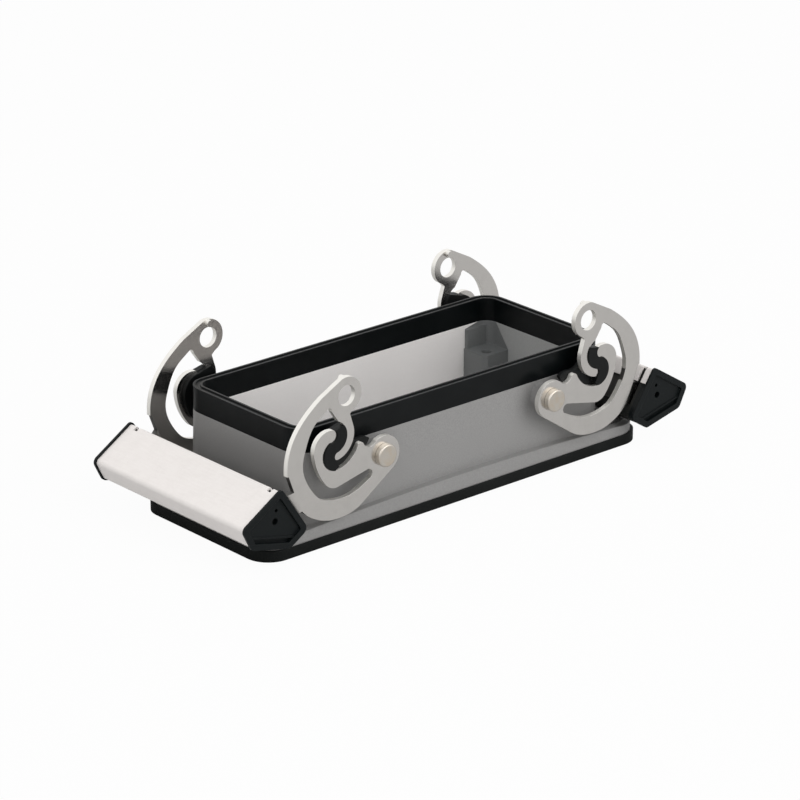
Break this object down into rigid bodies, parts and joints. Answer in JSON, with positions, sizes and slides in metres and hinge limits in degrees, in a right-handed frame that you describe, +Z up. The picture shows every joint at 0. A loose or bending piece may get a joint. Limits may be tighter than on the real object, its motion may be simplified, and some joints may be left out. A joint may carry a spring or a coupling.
{
  "type": "heavy duty rectangular connector housing base",
  "caption": "Grey bulkhead base of a heavy duty rectangular connector: flanged rectangular housing with a black rim seal and swinging steel locking levers with capped grips.",
  "frame": {"origin": "centre of the gasket's underside, on the mounting panel's surface", "axes": "+X along the base towards the right lever, +Y across it to the rear, +Z up from the panel towards the mating hood"},
  "size_m": [0.136, 0.054, 0.0402],
  "materials": {
    "housing_coat": "fine satin powder coat, grey",
    "gasket_rubber": "matt black",
    "seal_rubber": "matt black",
    "lever_steel": "bright rolled stainless, stamped edges",
    "pin_steel": "turned and polished",
    "track_plastic": "moulded black",
    "cap_plastic": "moulded black, fine grain",
    "core_plastic": "moulded black",
    "cover_sheet": "fine satin sheet, pale"
  },
  "bodies": {
    "base": {"base_gasket": "gasket_rubber", "housing": "housing_coat", "rim_seal": "seal_rubber", "pivot_pin_left_front": "pin_steel", "pivot_pin_left_rear": "pin_steel", "pivot_pin_right_front": "pin_steel", "pivot_pin_right_rear": "pin_steel"},
    "lever_left": {"lever_frame_left": "lever_steel", "track_insert_left_front": "track_plastic", "track_insert_left_rear": "track_plastic", "grip_core_left": "core_plastic", "grip_cover_left": "cover_sheet", "grip_cap_left_front": "cap_plastic", "grip_cap_left_rear": "cap_plastic"},
    "lever_right": {"lever_frame_right": "lever_steel", "track_insert_right_front": "track_plastic", "track_insert_right_rear": "track_plastic", "grip_core_right": "core_plastic", "grip_cover_right": "cover_sheet", "grip_cap_right_front": "cap_plastic", "grip_cap_right_rear": "cap_plastic"}
  },
  "joints": [
    {"name": "left_lever_pivot", "type": "hinge", "parent": "base", "child": "lever_left", "pos_m": [-0.0259, 0, 0.019], "axis": [0, 1, 0], "range_deg": [0, 45]},
    {"name": "right_lever_pivot", "type": "hinge", "parent": "base", "child": "lever_right", "pos_m": [0.0259, 0, 0.019], "axis": [0, -1, 0], "range_deg": [0, 45]}
  ]
}
